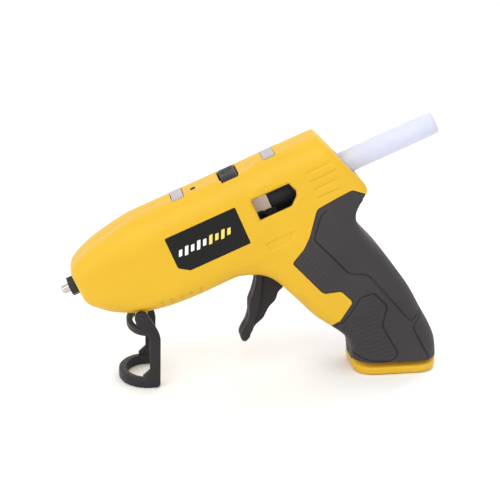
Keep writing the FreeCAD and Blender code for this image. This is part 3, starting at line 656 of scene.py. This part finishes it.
def trigger():
    front = [(-68.4, 56.0), (-68.6, 51.0), (-69.0, 46.5), (-70.4, 40.8), (-71.9, 36.4), (-72.0, 33.2),
             (-72.0, 30.8), (-73.1, 26.3), (-75.1, 21.6), (-76.2, 17.8), (-75.5, 14.6), (-73.7, 13.7)]
    step = [(-71.7, 16.4), (-70.2, 22.6), (-69.0, 28.3), (-67.5, 31.4), (-66.5, 34.4), (-65.9, 37.9),
            (-65.3, 44.5), (-65.2, 56.0)]
    rear = [(-71.9, 15.6), (-70.2, 19.4), (-68.8, 23.4), (-66.6, 26.0), (-64.7, 27.9), (-63.5, 30.3),
            (-61.7, 33.6), (-59.2, 36.2), (-58.2, 38.2), (-57.4, 40.8), (-54.8, 43.9), (-55.6, 56.0)]
    pad = spline(front, 0.8)[:-1] + spline([front[-1], step[0]], 0.8)[:-1] + spline(step, 0.8)[:-1] + \
        straight([step[-1], front[0]], 1.0)[:-1]
    web = spline(front, 0.8)[:-1] + spline([front[-1], rear[0]], 0.8)[:-1] + spline(rear, 0.8)[:-1] + \
        straight([rear[-1], front[0]], 1.0)[:-1]
    tip_z, squeeze = 26, 0.78

    def shortened(poly):
        return [(x, z if z > tip_z else tip_z - squeeze * (tip_z - z)) for x, z in poly]

    pad, web = shortened(pad), shortened(web)
    px, pz = TRIGGER_PIVOT
    (qx, qz), = to_xz([(102.0, -4.4)])
    (lx, lz), = to_xz([(98.8, -16.5)])
    hub = circle(px, pz, 4.1, 40)
    hole = circle(px, pz, 1.6, 24)

    def arm(x1, z1, r0, r1, y0, y1, bore):
        a = math.atan2(z1 - pz, x1 - px)
        poly = circle(px, pz, r0, 18, a + math.pi / 2, a + 3 * math.pi / 2, False)
        poly += circle(x1, z1, r1, 14, a - math.pi / 2, a + math.pi / 2, False)
        return slab(poly, y0, y1, 0.35, 1.3, holes=[circle(px, pz, 1.6, 24)] + bore)

    a = math.atan2(qz - pz, qx - px)
    dx, dz = 0.8 * math.cos(a), 0.8 * math.sin(a)
    slot = circle(qx + dx, qz + dz, 1.62, 10, a - math.pi / 2, a + math.pi / 2, False) + \
        circle(qx - dx, qz - dz, 1.62, 10, a + math.pi / 2, a + 3 * math.pi / 2, False)

    parts = [slab(pad, -6.15, 6.15, 2.1, 0.9), slab(web, -3.2, 3.2, 1.0, 1.1),
             slab(hub, -10.95, 10.95, 0.4, 1.4, holes=[hole]),
             arm(lx, lz, 3.6, 2.0, -1.3, 1.3, [circle(lx, lz, 0.6, 12)]),
             arm(qx, qz, 4.1, 2.9, -10.98, -9.22, [slot]), arm(qx, qz, 4.1, 2.9, 9.22, 10.98, [slot])]
    obj = new_mesh("trigger_lever", *join(*parts), sharp=48, body="trigger")
    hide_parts("trigger")
    return obj


def stand():
    kx, kz = STAND_PIVOT
    hole = circle(kx, kz, 1.34, 24)
    arcs = circle(kx, kz, 3.35, 24, math.radians(35), math.radians(205), False)
    heel = spline([(-124.2, 29.5), (-122.6, 27.0), (-121.7, 25.0), (-121.5, 23.6)], 0.7)
    front = straight([(-121.6, 22.0), (-121.8, 9.3)], 1.4) + [(-125.2, 6.2), (-125.2, 0.35), (-124.8, 0.0)]
    foot = straight([(-123.5, 0.0), (-118.9, 0.0)], 1.4) + \
        spline([(-118.4, 0.05), (-117.4, 0.5), (-116.9, 1.5)], 0.4)
    back = straight([(-116.85, 3.0), (-116.4, 23.5)], 1.4) + \
        spline([(-116.35, 24.6), (-116.9, 27.2), (-118.0, 29.8), (-119.9, 33.3), (-122.0, 36.6)], 0.8)
    outline = arcs + [(-127.6, 31.9), (-125.4, 30.2)] + heel + front + foot + back
    parts = []
    for y0, y1 in ((-17.15, -14.25), (14.25, 17.15)):
        parts.append(slab(outline, y0, y1, 0.75, 0.85, holes=[hole]))

    def bow(cx, a0, b0, a1, b1, z0, z1, r):
        """Front half of an elliptical band with rounded edges."""
        verts, faces = [], []
        n = 56
        ring = []
        for k in range(n + 1):
            q = math.pi / 2 + math.pi * k / n
            oc = np.array([a0 * math.cos(q), b0 * math.sin(q)])
            ic = np.array([a1 * math.cos(q), b1 * math.sin(q)])
            sec = []
            for (u, v, h0) in ((0, z0, 0), (1, z0, 1), (1, z1, 2), (0, z1, 3)):
                for j in range(4):
                    e = math.radians(180 + 90 * h0 + 30 * j)
                    lw = np.linalg.norm(oc - ic)
                    cu = r / lw if u == 0 else 1 - r / lw
                    cv = v + r if v == z0 else v - r
                    uu = cu + r / lw * math.cos(e)
                    vv = cv + r * math.sin(e)
                    p = ic + (oc - ic) * uu
                    sec.append((cx + p[0], p[1], vv))
            ring.append(sec)
        m = len(ring[0])
        for sec in ring:
            verts += sec
        for k in range(n):
            for j in range(m):
                a, b = k * m + j, k * m + (j + 1) % m
                faces.append((a, a + m, b + m, b))
        faces.append(tuple(range(m)))
        faces.append(tuple(n * m + j for j in range(m))[::-1])
        return verts, faces

    parts.append(bow(-122.0, 13.95, 17.15, 10.1, 13.5, 0.02, 4.8, 0.7))
    parts.append(bow(-122.6, 9.1, 17.15, 6.3, 14.3, 26.8, 30.4, 0.6))
    feet = [(-122.4, 0.05), (-118.6, 0.05), (-117.6, 1.0), (-117.6, 4.4), (-118.0, 4.75), (-122.4, 4.75)]
    for y0, y1 in ((-16.8, -13.45), (13.45, 16.8)):
        parts.append(slab(rounded(feet, 0.5, 3), y0, y1, 0.4, 1.0))
    obj = new_mesh("folding_stand", *join(*parts), sharp=45, body="stand")
    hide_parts("stand")
    return obj


def power_button():
    """Cap that wraps over the top, with a ring and bar symbol sunk in it."""
    b = BUTTON_S
    n, m = 40, 14
    half_s, half_y = 3.95, 10.45
    verts, faces = [], []

    def top(y):
        r = TOP_RADIUS - 0.1
        over = max(abs(y) - (HALF_WIDTH - TOP_RADIUS), 0)
        return BARREL_TOP - 0.1 - (r - math.sqrt(r * r - over * over))

    for i in range(m + 1):
        u = -half_s + 2 * half_s * i / m
        for j in range(n + 1):
            y = -half_y + 2 * half_y * j / n
            d = min(half_s - abs(u), half_y - abs(y))
            t = top(y) - corner(np.array([d]), 0.8)[0] * 0.8
            ring = abs(math.hypot(u, y) - 2.1)
            if ring < 0.45 and not (abs(y) < 0.7 and u < 0):
                t -= 0.28
            if abs(y) < 0.4 and -2.9 < u < -0.8:
                t -= 0.28
            (x, z), = to_xz([(b + u, t)])
            verts.append((x, y, z))
    for i in range(m):
        for j in range(n):
            a = i * (n + 1) + j
            faces.append((a, a + n + 1, a + n + 2, a + 1))
    rim = [j for j in range(n + 1)] + [i * (n + 1) + n for i in range(1, m + 1)] + \
        [m * (n + 1) + j for j in range(n - 1, -1, -1)] + [i * (n + 1) for i in range(m - 1, 0, -1)]
    base = len(verts)
    for i in rim:
        u = -half_s + 2 * half_s * (i // (n + 1)) / m
        y = -half_y + 2 * half_y * (i % (n + 1)) / n
        (x, z), = to_xz([(b + u, 15.3)])
        verts.append((x, y, z))
    k = len(rim)
    for i in range(k):
        j = (i + 1) % k
        faces.append((rim[i], rim[j], base + j, base + i))
    faces.append(tuple(base + i for i in range(k))[::-1])
    obj = new_mesh("button_cap", verts, faces, sharp=40, body="button")
    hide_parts("power_button")
    return obj


def glue_stick():
    r = STICK_R
    prof = [(36.0, 0.01), (36.0, r - 0.5), (36.15, r - 0.15), (36.5, r)]
    prof += [(s, r) for s in np.arange(44, 190, 8.0)]
    prof += [(195.5, r), (195.9, r - 0.15), (196.05, r - 0.5), (196.08, 0.01)]
    obj = new_mesh("stick", *lathe(prof, 72), sharp=50, body="stick")
    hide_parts("glue_stick")
    return obj


def nozzle():
    prof = [(17.3, 0.82), (1.2, 0.82), (0.35, 0.9), (0.05, 1.05), (0.1, 1.4), (0.45, 1.85), (1.0, 2.1),
            (1.8, 2.15), (4.8, 2.15), (4.95, 3.4), (17.3, 3.4), (17.3, 0.82)]
    obj = new_mesh("nozzle", *lathe(prof, 56), sharp=42, body="gun")
    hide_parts("nozzle_tip")
    return obj


def label(side):
    name = "left" if side < 0 else "right"
    film = [(55.95, 8.05), (91.85, 8.05), (91.85, -11.15), (60.85, -11.15), (55.95, -7.7)]
    poly = rounded(to_xz(film), 0.7)
    y0, y1 = (-18.58, -18.2) if side < 0 else (18.2, 18.58)
    obj = new_mesh(name + "_sticker", *slab(poly, y0, y1, 0.1, 3.0), sharp=40)
    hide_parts(name + "_label")
    bars = []
    for k in range(9):
        s0 = 60.0 + 3.1 * k
        h = 2.1 if k % 2 else 1.5
        bars.append((s0, h, k >= 5))
    for tone, pick in (("white", False), ("yellow", True)):
        parts = []
        for s0, h, warm in bars:
            if warm != pick:
                continue
            ss = s0 if side < 0 else 148.0 - s0
            lean = 0.9
            quad = to_xz([(ss - 0.85 - lean * h / 2, -1.3 - h), (ss + 0.85 - lean * h / 2, -1.3 - h),
                          (ss + 0.85 + lean * h / 2, -1.3 + h), (ss - 0.85 + lean * h / 2, -1.3 + h)])
            a, b = (-18.6, -18.5) if side < 0 else (18.5, 18.6)
            parts.append(slab(rounded(quad, 0.25, 3), a, b, 0.0, 5.0))
        mark = new_mesh("%s_marks_%s" % (name, tone), *join(*parts), sharp=40)
        mark.data.materials.append(MARKS[tone])
    return obj


# ---------------------------------------------------------------- materials

def material(name, colour, rough=0.5, grain=900.0, bump=0.08, tint=0.06, spec=0.5, coat=0.0, edge_highlight=None,
             metallic=0.0):
    """Moulded or cast surface: mottled colour, fine grain, patchy roughness and convex edges lightened in
    patches as a painted highlight.
    """
    mat = bpy.data.materials.new(name)
    mat.use_nodes = True
    nt = mat.node_tree
    bsdf = nt.nodes["Principled BSDF"]
    geo = nt.nodes.new("ShaderNodeTexCoord")
    big = nt.nodes.new("ShaderNodeTexNoise")
    big.inputs["Scale"].default_value = 38.0
    big.inputs["Detail"].default_value = 3.0
    nt.links.new(geo.outputs["Object"], big.inputs["Vector"])
    fine = nt.nodes.new("ShaderNodeTexNoise")
    fine.inputs["Scale"].default_value = grain
    fine.inputs["Detail"].default_value = 2.0
    nt.links.new(geo.outputs["Object"], fine.inputs["Vector"])
    ramp_c = nt.nodes.new("ShaderNodeValToRGB")
    lo = [max(c * (1 - tint), 0) for c in colour]
    hi = [min(c * (1 + tint), 1) for c in colour]
    ramp_c.color_ramp.elements[0].position, ramp_c.color_ramp.elements[1].position = 0.3, 0.7
    ramp_c.color_ramp.elements[0].color = (*lo, 1)
    ramp_c.color_ramp.elements[1].color = (*hi, 1)
    nt.links.new(big.outputs["Fac"], ramp_c.inputs["Fac"])
    out = ramp_c.outputs["Color"]
    # Painted highlight: convex edges (high pointiness) are mixed in patches towards the given lighter colour,
    # standing in for light caught on the edges.
    if edge_highlight is not None:
        g = nt.nodes.new("ShaderNodeNewGeometry")
        edge = nt.nodes.new("ShaderNodeMapRange")
        edge.inputs["From Min"].default_value, edge.inputs["From Max"].default_value = 0.53, 0.62
        nt.links.new(g.outputs["Pointiness"], edge.inputs["Value"])
        mix = nt.nodes.new("ShaderNodeMix")
        mix.data_type = "RGBA"
        fac = nt.nodes.new("ShaderNodeMath")
        fac.operation = "MULTIPLY"
        nt.links.new(edge.outputs["Result"], fac.inputs[0])
        nt.links.new(big.outputs["Fac"], fac.inputs[1])
        nt.links.new(fac.outputs[0], mix.inputs["Factor"])
        nt.links.new(out, mix.inputs["A"])
        mix.inputs["B"].default_value = (*edge_highlight, 1)
        out = mix.outputs["Result"]
    nt.links.new(out, bsdf.inputs["Base Color"])
    rr = nt.nodes.new("ShaderNodeMapRange")
    rr.inputs["To Min"].default_value = max(rough - 0.07, 0.02)
    rr.inputs["To Max"].default_value = min(rough + 0.07, 1)
    nt.links.new(big.outputs["Fac"], rr.inputs["Value"])
    nt.links.new(rr.outputs["Result"], bsdf.inputs["Roughness"])
    b = nt.nodes.new("ShaderNodeBump")
    b.inputs["Strength"].default_value = bump
    b.inputs["Distance"].default_value = 0.0004
    nt.links.new(fine.outputs["Fac"], b.inputs["Height"])
    nt.links.new(b.outputs["Normal"], bsdf.inputs["Normal"])
    bsdf.inputs["Specular IOR Level"].default_value = spec
    bsdf.inputs["Coat Weight"].default_value = coat
    bsdf.inputs["Metallic"].default_value = metallic
    return mat


def glue_material():
    mat = material("glue", (0.72, 0.74, 0.86), 0.16, 300, 0.05, 0.03)
    b = mat.node_tree.nodes["Principled BSDF"]
    b.inputs["Transmission Weight"].default_value = 0.45
    b.inputs["IOR"].default_value = 1.3
    b.inputs["Subsurface Weight"].default_value = 0.5
    b.inputs["Subsurface Radius"].default_value = (0.01, 0.01, 0.012)
    b.inputs["Subsurface Scale"].default_value = 0.3
    return mat


MARKS = {"white": material("mark_white", (0.85, 0.84, 0.8), 0.4, 600, 0.03, 0.03),
         "yellow": material("mark_yellow", (0.85, 0.62, 0.12), 0.4, 600, 0.03, 0.04)}
# The lighter colours given last to yellow_plastic, grip_rubber and black_plastic are painted highlights for
# their convex edges.
MATS = {
    "yellow_plastic": material("yellow_plastic", (0.66, 0.39, 0.014), 0.42, 1500, 0.05, 0.03, spec=0.3,
                               edge_highlight=(0.76, 0.52, 0.07)),
    "grip_rubber": material("grip_rubber", (0.034, 0.029, 0.032), 0.58, 2600, 0.16, 0.12, spec=0.3,
                            edge_highlight=(0.08, 0.07, 0.075)),
    "label_film": material("label_film", (0.009, 0.009, 0.009), 0.4, 700, 0.03, 0.1, spec=0.16),
    "nickel_plated": material("nickel_plated", (0.52, 0.49, 0.46), 0.22, 800, 0.03, 0.08, metallic=1.0),
    "black_silicone": material("black_silicone", (0.018, 0.017, 0.018), 0.55, 1800, 0.1, 0.1, spec=0.4),
    "cast_aluminium": material("cast_aluminium", (0.62, 0.62, 0.63), 0.4, 1200, 0.2, 0.1, metallic=1.0),
    "heater_ceramic": material("heater_ceramic", (0.72, 0.71, 0.68), 0.6, 1500, 0.1, 0.05),
    "spring_steel": material("spring_steel", (0.45, 0.45, 0.47), 0.3, 900, 0.05, 0.1, metallic=1.0),
    "steel_pin": material("steel_pin", (0.045, 0.043, 0.045), 0.35, 900, 0.05, 0.1, metallic=1.0),
    "insulator": material("insulator", (0.22, 0.12, 0.06), 0.6, 1200, 0.15, 0.15),
    "red_silicone": material("red_silicone", (0.42, 0.04, 0.03), 0.5, 1400, 0.1, 0.1),
    "glue": glue_material(),
    "black_plastic": material("black_plastic", (0.022, 0.019, 0.021), 0.48, 2200, 0.12, 0.12, spec=0.2,
                              edge_highlight=(0.06, 0.055, 0.06)),
    "beige_plastic": material("beige_plastic", (0.97, 0.74, 0.60), 0.5, 1400, 0.08, 0.05),
    "circuit_board": material("circuit_board", (0.02, 0.14, 0.05), 0.45, 1500, 0.1, 0.15),
    "clear_grey_plastic": material("clear_grey_plastic", (0.39, 0.35, 0.35), 0.32, 900, 0.05, 0.05, spec=0.4,
                                   coat=0.1),
    "dark_lens": material("dark_lens", (0.012, 0.008, 0.006), 0.5, 700, 0.03, 0.15, spec=0.12),
    "cell_wrap": material("cell_wrap", (0.05, 0.16, 0.42), 0.35, 800, 0.05, 0.08),
    "screw_steel": material("screw_steel", (0.16, 0.16, 0.17), 0.35, 1200, 0.08, 0.1, metallic=1.0),
    "wire_sleeve": material("wire_sleeve", (0.45, 0.03, 0.02), 0.45, 1600, 0.06, 0.08),
}

slots = {p["node"]: p["material_slot"] for p in frame["record"]["subparts"]}
made = [(housing(-1), "yellow_plastic"), (housing(1), "yellow_plastic"),
        (grip_cover(-1), "grip_rubber"), (grip_cover(1), "grip_rubber"),
        (under_parts(-1), "yellow_plastic"), (under_parts(1), "yellow_plastic"),
        (trigger(), "black_plastic"), (stand(), "black_plastic"), (power_button(), "black_plastic"),
        (glue_stick(), "glue"), (nozzle(), "nickel_plated"),
        (label(-1), "label_film"), (label(1), "label_film")]
for obj, slot_name in made:
    obj.data.materials.append(MATS[slot_name])
SHARP_EDGES = {"nozzle_sleeve": 0.35, "feed_jaw": 0.35, "feed_carriage": 0.3,
               "front_lens": 0.25, "rear_lens": 0.25, "charging_flap": 0.3, "rear_guide": 0.3,
               "housing_screws": 0.12, "drive_pins": 0.15,
               "indicator_lens": 0.2, "stand_pivot_pin": 0.15, "trigger_pin": 0.15}
for node, obj in frame["nodes"].items():
    for k in range(max(1, len(obj.material_slots))):
        if not obj.material_slots:
            obj.data.materials.append(MATS[slots[node]])
        else:
            obj.material_slots[k].material = MATS[slots[node]]
    if node in SHARP_EDGES:
        m = obj.modifiers.new("soft_edges", "BEVEL")
        m.width, m.segments = SHARP_EDGES[node] * MM, 2
        m.limit_method, m.angle_limit = "ANGLE", math.radians(35)
        m.harden_normals = False

# ---------------------------------------------------------------- stage, light and camera

bpy.ops.mesh.primitive_plane_add(size=6.0, location=(0, 0, -0.0002))
floor = bpy.context.object
floor.name = "floor"
floor.data.materials.append(material("floor_white", (0.92, 0.92, 0.92), 0.7, 60, 0.02, 0.01))

world = bpy.data.worlds.new("studio")
bpy.context.scene.world = world
bpy.context.scene.view_settings.view_transform = "Standard"
world.use_nodes = True
world.node_tree.nodes["Background"].inputs["Color"].default_value = (1, 1, 1, 1)
world.node_tree.nodes["Background"].inputs["Strength"].default_value = 1.08


def area(name, at, look, size, power):
    lamp = bpy.data.lights.new(name, "AREA")
    lamp.shape, lamp.size, lamp.energy = "SQUARE", size, power
    obj = bpy.data.objects.new(name, lamp)
    bpy.context.scene.collection.objects.link(obj)
    obj.location = at
    obj.rotation_euler = (Vector(look) - Vector(at)).to_track_quat("-Z", "Y").to_euler()


area("key", (-0.35, -0.55, 0.9), (-0.07, 0, 0.06), 0.7, 3.2)
area("back", (0.3, 0.6, 0.7), (-0.07, 0, 0.06), 0.7, 2.2)
area("fill", (-0.9, -0.5, 0.35), (-0.07, 0, 0.06), 0.6, 1.3)

target = Vector((-0.071, 0.0, 0.0622))
az, el = math.radians(-8), math.radians(18)
eye = target + 0.7 * Vector((math.sin(az) * math.cos(el), -math.cos(az) * math.cos(el), math.sin(el)))
cam = bpy.data.cameras.new("view")
cam.lens, cam.sensor_width = 104.0, 36.0
cam_obj = bpy.data.objects.new("view", cam)
bpy.context.scene.collection.objects.link(cam_obj)
cam_obj.location = eye
cam_obj.rotation_euler = (target - eye).to_track_quat("-Z", "Y").to_euler()
bpy.context.scene.camera = cam_obj
